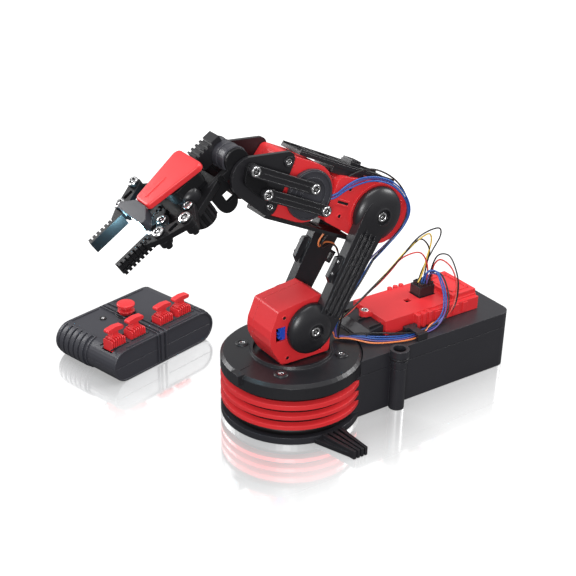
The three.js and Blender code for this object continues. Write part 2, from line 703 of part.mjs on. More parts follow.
for (const [name, side] of SIDES) {
  part(hand, `drive_link_${name}`, driveLink(side), BLACK);
  part(hand, `idle_link_${name}`, idleLink(side), BLACK);
  part(hand, `finger_${name}`, finger(side), BLACK);
}

// ---------------------------------------------------------------- controller
const controller = new THREE.Group();
controller.position.set(-138, -55.5, 0);
controller.rotation.z = THREE.MathUtils.degToRad(105.5);
model.add(controller);

const LEVER_PIVOT = 22;
const LEVER_ROW = -20.5;
const LEVER_PLACES = [-39, -18.7, 10.3, 29.8];
const KNOB = { x: -1, y: 9 };

function controllerShell(low, high) {
  const r = CONTROLLER_HEIGHT / 2;
  const end = CONTROLLER_LENGTH / 2 - r;
  const halfDepth = CONTROLLER_DEPTH / 2;
  const profile = [[-end, r, r], [end, r, r]];
  return cut(
    prism('y', outline(profile, 0, 32), -halfDepth, halfDepth),
    prism('y', outline(profile, WALL), -halfDepth + WALL, halfDepth - WALL),
    block([-90, 90], [-60, 60], [high, 60]),
    block([-90, 90], [-60, 60], [-30, low]),
  );
}

function controllerTop() {
  let top = controllerShell(CONTROLLER_HEIGHT / 2 + GAP / 2, 40);
  for (const x of LEVER_PLACES) {
    top = top.subtract(block([x - 8, x + 8], [LEVER_ROW - 5.6, LEVER_ROW + 5.6], [20, 30]));
  }
  return top.subtract(rod('z', 7.4, 20, 30, KNOB.x, KNOB.y));
}

function lever(x) {
  const fan = polygon([
    [x, LEVER_PIVOT - 1], [x + 7.4, 28.6], [x + 6.2, 31.6], [x + 2.6, 33.6],
    [x - 2.6, 33.6], [x - 6.2, 31.6], [x - 7.4, 28.6],
  ]);
  const [near, far] = [LEVER_ROW - 4.8, LEVER_ROW + 4.8];
  return union(
    prism('y', fan, near, far),
    rod('y', 2.4, near, far, x, LEVER_PIVOT, 16),
    block([x - 2.4, x + 2.4], [LEVER_ROW - 1.6, LEVER_ROW + 1.6], [33, 39]),
    prism('y', outline([[x - 6.4, 40, 1.5], [x + 6.4, 40, 1.5]]), LEVER_ROW - 3, LEVER_ROW + 3),
  );
}

part(controller, 'controller_top', controllerTop(), CHARCOAL);
part(controller, 'controller_bottom', controllerShell(-5, CONTROLLER_HEIGHT / 2 - GAP / 2), CHARCOAL);
part(controller, 'controller_board', block([-34, 34], [-28, 28], [9, 10.6]), GREEN);
LEVER_PLACES.forEach((x, i) => part(controller, `lever_${i + 1}`, lever(x), RED));
const KNOB_PROFILE = [
  [0, 19], [3, 19], [3, 25], [6.2, 30], [3, 31], [3, 33], [7.2, 33.4], [7.2, 35.6], [0, 36.2],
];
part(controller, 'lever_round', turned('z', KNOB_PROFILE, KNOB.x, KNOB.y, 24), RED);

export default model;
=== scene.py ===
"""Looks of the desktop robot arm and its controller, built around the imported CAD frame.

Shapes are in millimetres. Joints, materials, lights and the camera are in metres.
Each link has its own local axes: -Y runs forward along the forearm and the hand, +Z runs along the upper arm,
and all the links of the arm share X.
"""
import json
import math

import bmesh
import bpy
from mathutils import Matrix, Vector


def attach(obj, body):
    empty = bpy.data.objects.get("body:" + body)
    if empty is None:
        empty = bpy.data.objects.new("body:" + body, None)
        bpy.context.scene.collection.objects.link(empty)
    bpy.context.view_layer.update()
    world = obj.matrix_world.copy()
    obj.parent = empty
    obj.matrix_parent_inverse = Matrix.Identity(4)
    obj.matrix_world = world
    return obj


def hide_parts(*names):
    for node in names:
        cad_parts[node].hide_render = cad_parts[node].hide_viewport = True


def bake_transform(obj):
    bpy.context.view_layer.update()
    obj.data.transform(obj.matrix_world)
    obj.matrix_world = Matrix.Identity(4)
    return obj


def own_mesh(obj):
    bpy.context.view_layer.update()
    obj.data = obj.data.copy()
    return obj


MM = 0.001
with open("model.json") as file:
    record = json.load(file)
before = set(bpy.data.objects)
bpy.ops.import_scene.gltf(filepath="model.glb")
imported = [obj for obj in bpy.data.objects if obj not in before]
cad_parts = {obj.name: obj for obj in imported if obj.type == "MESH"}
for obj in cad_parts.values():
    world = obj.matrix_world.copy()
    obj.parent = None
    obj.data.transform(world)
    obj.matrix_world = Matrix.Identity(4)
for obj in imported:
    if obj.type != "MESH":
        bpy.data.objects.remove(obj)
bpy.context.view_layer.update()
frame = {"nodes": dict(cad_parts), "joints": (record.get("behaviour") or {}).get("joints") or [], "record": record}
NODES = frame["nodes"]
JOINT = {j["name"]: Vector(j["pos_m"]) for j in frame["joints"] if j["type"] == "hinge"}

UPPER_TILT, FORE_TILT, HAND_TILT = -35.7, -24.9, 34.0
PAD_PLACE, PAD_TURN = (-0.138, -0.0555), 105.5


def link(joint, tilt):
    """Local axes of a link that starts at a joint and is turned about X, in degrees."""
    return Matrix.Translation(JOINT[joint]) @ Matrix.Rotation(math.radians(tilt), 4, "X")


WORLD = Matrix.Identity(4)
UPPER = link("shoulder", UPPER_TILT)
FORE = link("elbow", FORE_TILT)
CRANK = link("wrist_crank", FORE_TILT)
HAND = link("wrist", HAND_TILT)
PAD = Matrix.Translation((*PAD_PLACE, 0)) @ Matrix.Rotation(math.radians(PAD_TURN), 4, "Z")
SIDES = (("right", 1), ("left", -1))
BOTH = (1, -1)


# ---------------------------------------------------------------- materials
NOISE_RANGE = (0.3, 0.7)
CLOUDS, GLOSS_PATCHES, GRAIN = 45, 160, 1900
TARNISH, STREAKS = 300, 900
GLOW_PATCHES = 400
# Width and share of the paler edge colour on convex and concave edges: partly rubbed wear, partly a painted
# highlight.
WORN_AND_HIGHLIT_EDGE_WIDTH, WORN_AND_HIGHLIT_EDGE_SHARE = 0.0005, 0.55
GRAIN_DEPTH, STREAK_DEPTH = 0.00012, 0.00005


class Nodes:
    """Shorthand for adding shader nodes to one material. Noise scales are per metre."""

    def __init__(self, name):
        self.material = bpy.data.materials.new(name)
        self.material.use_nodes = True
        self.tree = self.material.node_tree
        self.shader = self.tree.nodes["Principled BSDF"]
        self.coords = self.add("ShaderNodeTexCoord").outputs["Object"]

    def add(self, kind, **settings):
        node = self.tree.nodes.new(kind)
        for key, value in settings.items():
            setattr(node, key, value)
        return node

    def join(self, source, target):
        self.tree.links.new(source, target)

    def noise(self, scale, detail):
        node = self.add("ShaderNodeTexNoise")
        node.inputs["Scale"].default_value = scale
        node.inputs["Detail"].default_value = detail
        self.join(self.coords, node.inputs["Vector"])
        return node.outputs["Fac"]

    def remap(self, value, low, high, to_low, to_high):
        node = self.add("ShaderNodeMapRange")
        for key, number in zip(("From Min", "From Max", "To Min", "To Max"), (low, high, to_low, to_high)):
            node.inputs[key].default_value = number
        self.join(value, node.inputs["Value"])
        return node.outputs["Result"]

    def mix(self, share, first, second):
        node = self.add("ShaderNodeMix", data_type="RGBA")
        self.join(share, node.inputs["Factor"])
        for socket, colour in ((node.inputs[6], first), (node.inputs[7], second)):
            if isinstance(colour, bpy.types.NodeSocket):
                self.join(colour, socket)
            else:
                socket.default_value = (*colour, 1)
        return node.outputs[2]

    def edges(self, radius):
        """1 on convex and concave edges, 0 on flats, with the rounded normal it was read from."""
        bevel = self.add("ShaderNodeBevel", samples=4)
        bevel.inputs["Radius"].default_value = radius
        normal = self.add("ShaderNodeNewGeometry").outputs["Normal"]
        dot = self.add("ShaderNodeVectorMath", operation="DOT_PRODUCT")
        self.join(bevel.outputs["Normal"], dot.inputs[0])
        self.join(normal, dot.inputs[1])
        return self.remap(dot.outputs["Value"], 0.99, 0.8, 0, 1), bevel.outputs["Normal"]


def plastic(name, colour, worn_and_highlit_edge_colour, roughness, grain=0.12, mottle=0.08, coat=0.0, shine=0.5):
    """Moulded plastic: fine grain, slight mottling of colour and gloss, and paler edges, partly rubbed wear and
    partly a painted highlight.
    """
    n = Nodes(name)
    edge, normal = n.edges(WORN_AND_HIGHLIT_EDGE_WIDTH)
    cloudy = n.noise(CLOUDS, 4)
    dark = tuple(c * (1 - mottle) for c in colour)
    light = tuple(min(1, c * (1 + mottle)) for c in colour)
    body = n.mix(cloudy, dark, light)
    # Paler colour on the edges, partly rubbed wear and partly a painted highlight.
    n.join(n.mix(n.remap(edge, 0, 1, 0, WORN_AND_HIGHLIT_EDGE_SHARE), body, worn_and_highlit_edge_colour), n.shader.inputs["Base Color"])
    gloss = n.remap(n.noise(GLOSS_PATCHES, 2), *NOISE_RANGE, roughness - 0.02, roughness + 0.03)
    n.join(gloss, n.shader.inputs["Roughness"])
    bump = n.add("ShaderNodeBump")
    bump.inputs["Strength"].default_value = grain
    bump.inputs["Distance"].default_value = GRAIN_DEPTH
    n.join(n.noise(GRAIN, 2), bump.inputs["Height"])
    n.join(normal, bump.inputs["Normal"])
    n.join(bump.outputs["Normal"], n.shader.inputs["Normal"])
    n.shader.inputs["Specular IOR Level"].default_value = shine
    n.shader.inputs["Coat Weight"].default_value = coat
    n.shader.inputs["Coat Roughness"].default_value = 0.12
    return n.material


def metal(name, colour, roughness):
    """Turned or drawn metal: fine patches of gloss and a trace of tarnish."""
    n = Nodes(name)
    n.shader.inputs["Metallic"].default_value = 1
    tarnish = tuple(c * 0.8 for c in colour)
    n.join(n.mix(n.noise(TARNISH, 3), tarnish, colour), n.shader.inputs["Base Color"])
    gloss = n.remap(n.noise(STREAKS, 4), *NOISE_RANGE, roughness - 0.06, roughness + 0.08)
    n.join(gloss, n.shader.inputs["Roughness"])
    bump = n.add("ShaderNodeBump")
    bump.inputs["Strength"].default_value = 0.08
    bump.inputs["Distance"].default_value = STREAK_DEPTH
    n.join(n.noise(STREAKS * 2, 2), bump.inputs["Height"])
    n.join(bump.outputs["Normal"], n.shader.inputs["Normal"])
    return n.material


def glowing(name, colour, strength):
    """Lens of a lit lamp: brightest in cloudy patches, where the light scatters."""
    n = Nodes(name)
    n.shader.inputs["Roughness"].default_value = 0.15
    n.shader.inputs["Base Color"].default_value = (*colour, 1)
    n.shader.inputs["Emission Color"].default_value = (*colour, 1)
    cloudy = n.remap(n.noise(GLOW_PATCHES, 2), *NOISE_RANGE, strength * 0.8, strength * 1.2)
    n.join(cloudy, n.shader.inputs["Emission Strength"])
    return n.material


BLACK = plastic("black_plastic", (0.0125, 0.0122, 0.0145), (0.050, 0.050, 0.057), 0.33)
CHARCOAL = plastic("charcoal_plastic", (0.034, 0.034, 0.042), (0.11, 0.11, 0.125), 0.36)
# A paler copy of the black plastic: a painted lighter tone for the base tray and battery lid, where the box
# catches more light.
LIT_BOX_BLACK = plastic("lit_box_black_plastic", (0.021, 0.0208, 0.0255), (0.07, 0.07, 0.08), 0.36)
# A darker copy of the black plastic, with less shine: painted shade for the hand and its fingers, links and
# gearbox.
SHADED_BLACK = plastic("shaded_black_plastic", (0.006, 0.006, 0.007), (0.06, 0.06, 0.068), 0.42, shine=0.24)
# Near-black painted shade, laid in screw recesses, holes, slots and grooves where only shadow falls.
PAINTED_SHADE = plastic("painted_shade_black", (0.003, 0.003, 0.0035), (0.01, 0.01, 0.01), 0.5)
RED = plastic("red_plastic", (0.66, 0.027, 0.032), (0.80, 0.085, 0.085), 0.36, grain=0.05, mottle=0.03)
BLUE_GEAR = plastic("blue_plastic", (0.015, 0.07, 0.52), (0.05, 0.16, 0.75), 0.38)
BOARD = plastic("board_green", (0.02, 0.16, 0.06), (0.06, 0.3, 0.12), 0.5)
WRAP = plastic("cell_wrap", (0.45, 0.34, 0.10), (0.6, 0.5, 0.2), 0.3, coat=0.4)
STEEL = metal("motor_steel", (0.62, 0.62, 0.64), 0.3)
BRIGHT = metal("screw_steel", (0.93, 0.93, 0.94), 0.2)
LAMP = glowing("lamp_light", (0.55, 0.86, 1.0), 9.0)
SLOT_LOOK = {
    "black_plastic": BLACK, "charcoal_plastic": CHARCOAL, "red_plastic": RED, "blue_gear": BLUE_GEAR,
    "circuit_board": BOARD, "motor_steel": STEEL, "cell_wrap": WRAP, "lens": LAMP,
}
SLOT_OF = {look: slot for slot, look in SLOT_LOOK.items()}
SLOT_OF[PAINTED_SHADE] = "black_plastic"
SLOT_OF[BRIGHT] = "motor_steel"
WIRE_COLOURS = {
    "black": (0.012, 0.012, 0.013), "yellow": (0.72, 0.50, 0.08), "red": (0.62, 0.05, 0.04),
    "blue": (0.02, 0.085, 0.34), "orange": (0.75, 0.22, 0.07), "purple": (0.11, 0.08, 0.28),
}
WIRE = {k: plastic(f"wire_{k}", c, c, 0.35, grain=0.05) for k, c in WIRE_COLOURS.items()}


# ---------------------------------------------------------------- CAD nodes that stay
FLAT_ANGLE, EDGE_ANGLE = math.radians(0.6), math.radians(34)
NODE_EDGE = 0.3


def soften(obj, width, flat=True):
    """Rounds an object's hard edges with modifiers, so the points of its mesh stay where they are."""
    if flat:
        dissolve = obj.modifiers.new("flats", "DECIMATE")
        dissolve.decimate_type = "DISSOLVE"
        dissolve.angle_limit = FLAT_ANGLE
    bevel = obj.modifiers.new("edges", "BEVEL")
    bevel.width = width * MM
    bevel.segments = 2
    bevel.limit_method = "ANGLE"
    bevel.angle_limit = EDGE_ANGLE
    bevel.use_clamp_overlap = False
    bevel.miter_outer = "MITER_ARC"
    obj.modifiers.new("shading", "WEIGHTED_NORMAL").keep_sharp = True
    obj.data.polygons.foreach_set("use_smooth", [True] * len(obj.data.polygons))


for row in frame["record"]["subparts"]:
    node = NODES[row["node"]]
    node.data.materials.clear()
    node.data.materials.append(SLOT_LOOK[row["material_slot"]])
    soften(node, NODE_EDGE)
# The tray and lid take the paler copy of the black plastic, painted light.
for name in ("base_tray", "battery_lid"):
    NODES[name].data.materials[0] = LIT_BOX_BLACK
# The hand's black parts take the darker copy of the black plastic, painted shade.
for name in ("hand_bracket", "gripper_gearbox"):
    NODES[name].data.materials[0] = SHADED_BLACK
for name, _ in SIDES:
    for part in ("finger", "drive_link", "idle_link"):
        NODES[f"{part}_{name}"].data.materials[0] = SHADED_BLACK


# ---------------------------------------------------------------- mesh building
ON_AXIS = 1e-6
ORDER = {
    "x": lambda a, b, h: (h, a, b),
    "y": lambda a, b, h: (a, h, b),
    "z": lambda a, b, h: (a, b, h),
}


def slab(points, low, high, axis="z"):
    """A polygon pushed along an axis: (a, b) is (y, z) for x, (x, z) for y and (x, y) for z."""
    order = ORDER[axis]
    bm = bmesh.new()
    rings = [[bm.verts.new(order(a, b, h)) for a, b in points] for h in (low, high)]
    bm.faces.new(rings[0])
    bm.faces.new(rings[1])
    count = len(points)
    for i in range(count):
        j = (i + 1) % count
        bm.faces.new((rings[0][i], rings[0][j], rings[1][j], rings[1][i]))
    return bm


def hull(circles, sides=20):
    """The tight outline round circles given as (a, b, radius)."""
    points = []
    for a, b, r in circles:
        for i in range(sides):
            t = 2 * math.pi * i / sides
            points.append((round(a + r * math.cos(t), 5), round(b + r * math.sin(t), 5)))
    points = sorted(set(points))

    def turn(o, p, q):
        return (p[0] - o[0]) * (q[1] - o[1]) - (p[1] - o[1]) * (q[0] - o[0])

    def chain(sequence):
        line = []
        for p in sequence:
            while len(line) > 1 and turn(line[-2], line[-1], p) < 1e-5:
                line.pop()
            line.append(p)
        return line[:-1]

    return chain(points) + chain(points[::-1])


def rim(circles, inset, low, high, axis="x"):
    """A raised border of even width just inside the tight outline round circles of one radius."""
    outer, inner = hull(circles, 24), hull([(a, b, r - inset) for a, b, r in circles], 24)
    order = ORDER[axis]
    bm = bmesh.new()
    rings = [[bm.verts.new(order(a, b, h)) for a, b in loop]
             for loop, h in ((outer, low), (outer, high), (inner, high), (inner, low))]
    for i in range(len(outer)):
        j = (i + 1) % len(outer)
        for one, two in zip(rings, rings[1:] + rings[:1]):
            bm.faces.new((one[i], one[j], two[j], two[i]))
    return bm


def arc(a, b, radius, start, end, steps):
    """Points on an arc, in degrees."""
    out = []
    for i in range(steps + 1):
        t = math.radians(start + (end - start) * i / steps)
        out.append((a + radius * math.cos(t), b + radius * math.sin(t)))
    return out


def washer(inner, outer, low, high):
    """Profile of a flat ring for turned(), or of a disc where the inner radius is 0."""
    return [(inner, low), (outer, low), (outer, high), (inner, high)]


def turned(profile, axis="z", a=0.0, b=0.0, steps=32):
    """A profile of (radius, height), closed or ending on the axis, turned about an axis through (a, b)."""
    order = ORDER[axis]
    bm = bmesh.new()
    rings = []
    for r, h in profile:
        if r < ON_AXIS:
            rings.append([bm.verts.new(order(a, b, h))])
            continue
        rings.append([
            bm.verts.new(order(a + r * math.cos(t), b + r * math.sin(t), h))
            for t in (2 * math.pi * i / steps for i in range(steps))
        ])
    closed = profile[0][0] > ON_AXIS
    pairs = list(zip(rings, rings[1:])) + ([(rings[-1], rings[0])] if closed else [])
    for lower, upper in pairs:
        for i in range(steps):
            j = (i + 1) % steps
            corners = [lower[i % len(lower)], lower[j % len(lower)],
                       upper[j % len(upper)], upper[i % len(upper)]]
            apart = list(dict.fromkeys(corners))
            if len(apart) > 2:
                bm.faces.new(apart)
    return bm


TUBE_SIDES, TUBE_STEPS = 8, 7


def smooth_path(points):
    """Points on a soft curve through the given ones."""
    ends = [points[0] * 2 - points[1], *points, points[-1] * 2 - points[-2]]
    out = []
    for i in range(1, len(ends) - 2):
        p0, p1, p2, p3 = ends[i - 1:i + 3]
        for k in range(TUBE_STEPS):
            t = k / TUBE_STEPS
            out.append(0.5 * (2 * p1 + (p2 - p0) * t + (2 * p0 - 5 * p1 + 4 * p2 - p3) * t * t
                              + (3 * p1 - p0 - 3 * p2 + p3) * t ** 3))
    return [*out, points[-1]]


def tube(points, radius):
    """A round tube along a soft curve, closed at both ends."""
    line = smooth_path([Vector(p) for p in points])
    bm = bmesh.new()
    rings = []
    across = Vector((0, 0, 1))
    for i, p in enumerate(line):
        ahead = (line[min(i + 1, len(line) - 1)] - line[max(i - 1, 0)]).normalized()
        across = across - ahead * across.dot(ahead)
        if across.length < 1e-4:
            across = ahead.orthogonal()
        across.normalize()
        side = ahead.cross(across)
        rings.append([
            bm.verts.new(p + radius * (across * math.cos(t) + side * math.sin(t)))
            for t in (2 * math.pi * k / TUBE_SIDES for k in range(TUBE_SIDES))
        ])
    for lower, upper in zip(rings, rings[1:]):
        for k in range(TUBE_SIDES):
            j = (k + 1) % TUBE_SIDES
            bm.faces.new((lower[k], lower[j], upper[j], upper[k]))
    bm.faces.new(rings[0])
    bm.faces.new(rings[-1])
    return bm


def box(xs, ys, zs):
    """A block from three (low, high) pairs."""
    return slab([(xs[0], ys[0]), (xs[1], ys[0]), (xs[1], ys[1]), (xs[0], ys[1])], zs[0], zs[1])


def moved(bm, matrix):
    """The same shell, put where the matrix says."""
    bm.transform(matrix)
    return bm


class Piece:
    """One object made of several closed shells, each with its own material, in a link's local axes."""

    def __init__(self, name, at=WORLD):
        self.name = name
        self.at = at
        self.all = bmesh.new()
        self.looks = []

    def add(self, bm, look):
        if look not in self.looks:
            self.looks.append(look)
        bmesh.ops.recalc_face_normals(bm, faces=bm.faces)
        for face in bm.faces:
            face.material_index = self.looks.index(look)
            face.smooth = True
        part = bpy.data.meshes.new("part")
        bm.to_mesh(part)
        bm.free()
        self.all.from_mesh(part)
        bpy.data.meshes.remove(part)

    def done(self, body, soft, replaces=()):
        """Turns the shells into an object. With no body, it is attached to none."""
        self.all.transform(self.at @ Matrix.Scale(MM, 4))
        mesh = bpy.data.meshes.new(self.name)
        self.all.to_mesh(mesh)
        self.all.free()
        for look in self.looks:
            mesh.materials.append(look)
        obj = bpy.data.objects.new(self.name, mesh)
        bpy.context.scene.collection.objects.link(obj)
        if soft:
            soften(obj, soft, flat=False)
        if body:
            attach(obj, body)
        if replaces:
            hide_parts(*replaces)
        return obj


# ---------------------------------------------------------------- screws
def screw(r):
    """Head of a screw of radius r, seated at z 0 and facing +Z: its flange, recess and cross."""
    flange = turned([(r * 0.57, 0), (r, 0), (r, r * 0.16), (r * 0.9, r * 0.3), (r * 0.65, r * 0.34),
                     (r * 0.57, r * 0.26)], steps=24)
    core = turned([(0, r * 0.02), (r * 0.55, r * 0.02), (r * 0.55, r * 0.1), (0, r * 0.13)], steps=24)
    blades = [box((-0.08 * r, 0.08 * r), (-0.3 * r, 0.3 * r), (r * 0.1, r * 0.2)),
              box((-0.3 * r, 0.3 * r), (-0.08 * r, 0.08 * r), (r * 0.1, r * 0.195))]
    return flange, core, blades


def facing(point, direction, spin):
    """Places something seated at the origin and facing +Z at a point, facing the given way."""
    turn = Vector(direction).to_track_quat("Z", "Y").to_matrix().to_4x4()
    return Matrix.Translation(point) @ turn @ Matrix.Rotation(spin, 4, "Z")


def screws(name, body, at, places):
    """Some of one body's screws, each (x, y, z, direction, radius), with their crosses at different turns."""
    piece = Piece(name, at)
    for i, (x, y, z, direction, radius) in enumerate(places):
        where = facing((x, y, z), direction, 0.6 + 1.1 * i)
        flange, core, blades = screw(radius)
        piece.add(moved(flange, where), BRIGHT)
        # The screw's recess is filled with painted shade.
        piece.add(moved(core, where), PAINTED_SHADE)
        for blade in blades:
            piece.add(moved(blade, where), BRIGHT)
    piece.done(body, soft=0.06)


UP = (0, 0, 1)
OUT = {1: (1, 0, 0), -1: (-1, 0, 0)}
ARM_LENGTH = 91
# Places of the pins and bolts, and the step from a link's deck pin to its finger pin.
PINS = ((-3, 5.6), (12.6, -6.3))
WRIST_PLATE_BOLTS = ((-88.9, 16.4), (-89.8, -14.8))
CAP_BOLT = 25.5
RECEIVER_BOLT = (-3, 67)
LINK_PINS = ((10.6, -58.8), (18.8, -42.2))
LINK_X, LINK_Y = 15.2, -8.7
HAND_BEND = math.radians(HAND_TILT - FORE_TILT)


def on_hand(y, z):
    """A crank pin's place in the hand's axes, where the rods hold a pin at the same offset."""
    c, s = math.cos(-HAND_BEND), math.sin(-HAND_BEND)
    return y * c - z * s, y * s + z * c


screws("crank_screws", "wrist_crank", CRANK, [
    (side * 25.0, y, z, OUT[side], 3.5) for side in BOTH for y, z in PINS])
screws("hand_pin_screws", "hand", HAND, [
    (side * 25.0, *on_hand(y, z), OUT[side], 3.5) for side in BOTH for y, z in PINS])
screws("upper_arm_screws", "upper_arm", UPPER, [
    (side * 23.6, 0, z, OUT[side], 3.7) for side in BOTH for z in (0, ARM_LENGTH)])
screws("wrist_plate_screws", "forearm", FORE, [
    (side * 18.1, y, z, OUT[side], 2.3) for side in BOTH for y, z in WRIST_PLATE_BOLTS])
screws("ring_cap_screws", "base", WORLD, [
    (x, y, 47.2, UP, 2.6) for x in (-CAP_BOLT, CAP_BOLT) for y in (-CAP_BOLT, CAP_BOLT)])
screws("receiver_screw", "base", WORLD, [(*RECEIVER_BOLT, 58.0, UP, 3.0)])
screws("gripper_link_screws", "hand", HAND, [
    (side * x, y, 18.2, UP, 3.3) for side in BOTH for x, y in LINK_PINS])
for name, side in SIDES:
    screws(f"finger_{name}_screws", f"finger_{name}", HAND, [
        (side * (x + LINK_X), y + LINK_Y, 24.0, UP, 3.9) for x, y in LINK_PINS])


# ---------------------------------------------------------------- base details
cap = Piece("ring_cap_details")
BOSS = [(0, 46.6), (5.2, 46.6), (5.2, 47.7), (4.7, 48.3), (3.5, 48.3), (3.2, 48.0), (3.2, 47.2), (0, 47.2)]
for x in (-1, 1):
    for y in (-1, 1):
        start, end = Vector((x * 23.4, y * 23.4)), Vector((x * 20.6, y * 20.6))
        across = Vector((-y, x)).normalized() * 0.7
        corners = [start + across, start - across, end - across, end + across]
        cap.add(slab([tuple(c) for c in corners], 46.6, 48.0), BLACK)
        cap.add(turned(BOSS, "z", x * CAP_BOLT, y * CAP_BOLT, 24), BLACK)
cap.add(slab([(6.5, -49.3), (5.7, -49.3), (3.4, -37), (4.2, -37)], 46.9, 47.6), BLACK)
cap.done("base", soft=0.15)

# Near-black strips in the ring's grooves: painted shade.
grooves = Piece("ring_groove_shade")
for low, high in ((5.4, 10.4), (16.2, 18.5), (24.2, 26.3), (32.7, 36.0)):
    grooves.add(turned(washer(45.6, 46.9, low, high), steps=120), PAINTED_SHADE)
grooves.done("base", soft=0)

lid = Piece("battery_lid_details")
for x in (-17, 0, 13.5):
    lid.add(box((x - 0.7, x + 0.7), (59, 69.5), (53, 54.8)), BLACK)
lid.add(box((24.8, 38.4), (85.0, 93.8), (45.8, 47.2)), BLACK)
lid.add(box((35.4, 38.4), (85.0, 93.8), (47.0, 51.4)), BLACK)
lid.add(turned([(6.6, 40.9), (7.3, 41.2), (7.3, 42.4), (6.6, 42.7)], "z", 42.5, 64.5, 32), BLACK)
lid.done("base", soft=0.15)

receiver = Piece("receiver_details")
for ys in ((137, 138.2), (152.6, 153.8)):
    receiver.add(box((-13.5, 13.5), ys, (61.3, 62.2)), RED)
for xs in ((-13.5, -12.3), (12.3, 13.5)):
    receiver.add(box(xs, (137, 153.8), (61.3, 62.2)), RED)
for i in range(4):
    receiver.add(box((21.8, 22.8), (114 + i * 9, 119 + i * 9), (47.5, 55.5)), RED)
receiver.add(turned(washer(2.2, 4.5, 57.9, 58.7), "z", *RECEIVER_BOLT, 24), RED)
receiver.done("base", soft=0.3)

plug = Piece("plug_details")
for row in range(2):
    for i in range(5):
        x, y = -7.8 + row * 5.6, 116.2 + i * 2.45
        plug.add(box((x, x + 4.6), (y, y + 2.0), (65.8, 68.6)), BLACK)
        # A near-black stub on each socket: painted shade for its hole.
        plug.add(turned([(0, 68.4), (0.75, 68.4), (0.6, 70.2), (0, 70.2)], "z", x + 2.3, y + 1.0, 8), PAINTED_SHADE)
plug.done("base", soft=0.15)


# ---------------------------------------------------------------- turret details
turret = Piece("shoulder_details")
for side in BOTH:
    for y, z in ((-16.5, 83.5), (16, 82.5), (14.5, 51.5), (-13.5, 51.5)):
        turret.add(turned(washer(1.3, 2.2, side * 14.8, side * 15.3), "x", y, z, 20), RED)
        # Painted shade in each screw hole.
        turret.add(turned(washer(0, 1.3, side * 14.7, side * 15.08), "x", y, z, 20), PAINTED_SHADE)
turret.done("turret", soft=0.1)


# ---------------------------------------------------------------- upper arm details
RIB_FOOT, RIB_TOP, RIB_HALF = 16, 74, 0.6


def dome(radius):
    """Profile of the round boss at an end of an arm plate, with a collar round its screw."""
    shell = [(0, 16.4), (radius, 16.4), (radius, 18.2)]
    for i in range(1, 11):
        t = math.radians(6.8 * i)
        shell.append((radius * math.cos(t), 18.2 + 7.6 * math.sin(t)))
    return shell + [(6.6, 25.5), (6.2, 25.8), (5.5, 25.8), (5.3, 25.6), (5.3, 23.5), (0, 23.5)]


def plate_middle(z):
    """Middle of an arm plate's flank at a height: it leans from y 6.3 at z 2 to y -3.2 at z 89."""
    return 6.3 - 9.5 / 87 * (z - 2)


upper = Piece("upper_arm_details", UPPER)
for side in BOTH:
    for y, z in ((-12.2, 40.5), (-13.0, 49.5)):
        upper.add(turned(washer(1.1, 1.9, side * 21.4, side * 22.2), "x", y, z, 20), BLACK)
        stud = [(0, side * 21.4), (1.1, side * 21.4), (0.9, side * 22.5), (0, side * 22.6)]
        upper.add(turned(stud, "x", y, z, 16), BRIGHT)
    for z, radius in ((0, 18.9), (ARM_LENGTH, 19.7)):
        upper.add(turned([(r, side * h) for r, h in dome(radius)], "x", 0, z, 64), BLACK)
    for across in (-6.9, -2.3, 2.3, 6.9):
        foot, top = plate_middle(RIB_FOOT) + across, plate_middle(RIB_TOP) + across
        rib = [(foot - RIB_HALF, RIB_FOOT), (foot + RIB_HALF, RIB_FOOT), (top + RIB_HALF, RIB_TOP),
               (top - RIB_HALF, RIB_TOP)]
        upper.add(slab(rib, side * 23.4, side * 24.3, "x"), BLACK)
CLIP = (-20.2 - 3.4, -20.2 + 3.4)
for ys, zs in (((11.6, 17.4), (44, 46.4)), ((15.4, 17.4), (44, 53.5)), ((11.6, 17.4), (51.6, 53.5))):
    upper.add(box(CLIP, ys, zs), BLACK)
upper.done("upper_arm", soft=0.25)


# ---------------------------------------------------------------- forearm details
fore = Piece("forearm_details", FORE)
for side in BOTH:
    for y, z in ((-82.5, 15.2), (19.5, 11.5), (20.5, -10)):
        fore.add(turned(washer(1.2, 2.1, side * 14.8, side * 15.3), "x", y, z, 20), RED)
    fore.add(turned(washer(20.2, 21.3, side * 14.8, side * 15.7), "x", steps=80), RED)
    for y, z in ((-28.5, 10.5), (-29, -9)):
        fore.add(turned(washer(1.3, 2.3, side * 14.8, side * 15.5), "x", y, z, 20), RED)
        # Painted shade in each hole.
        fore.add(turned(washer(0, 1.3, side * 14.8, side * 15.1), "x", y, z, 20), PAINTED_SHADE)
    for zs in ((1.2, 2.6), (-2.0, -0.6)):
        fore.add(box((side * 14.8, side * 15.6), (-35.5, -25.0), zs), RED)
    # Painted shade in the slot between the two red bars.
    fore.add(box((side * 14.8, side * 15.15), (-35.0, -25.5), (-0.6, 1.2)), PAINTED_SHADE)
for i in range(5):
    fore.add(box((-3.6, 6.6), (-29.4 + 1.9 * i, -28.4 + 1.9 * i), (27.3, 29.2)), BLACK)
for y in (-64, -56, -40, -32):
    fore.add(box((-10.4, 10.4), (y, y + 1.2), (24.0, 25.3)), BLACK)
fore.add(box((-10.4, 10.4), (-46, -18), (17.0, 21.9)), BLACK)
for xs in ((-11, -9.6), (9.6, 11)):
    fore.add(box(xs, (-76.8, 9.8), (24.0, 25.4)), BLACK)
for side in BOTH:
    for y, z in WRIST_PLATE_BOLTS:
        fore.add(turned(washer(2.5, 3.7, side * 18.0, side * 19.2), "x", y, z, 24), BLACK)
fore.done("forearm", soft=0.2)

crank = Piece("crank_details", CRANK)
for side in BOTH:
    for inner, outer in ((11.4, 12.4), (15.8, 16.8)):
        crank.add(turned(washer(inner, outer, side * 18.8, side * 19.5), "x", steps=48), CHARCOAL)
crank.done("wrist_crank", soft=0.15)

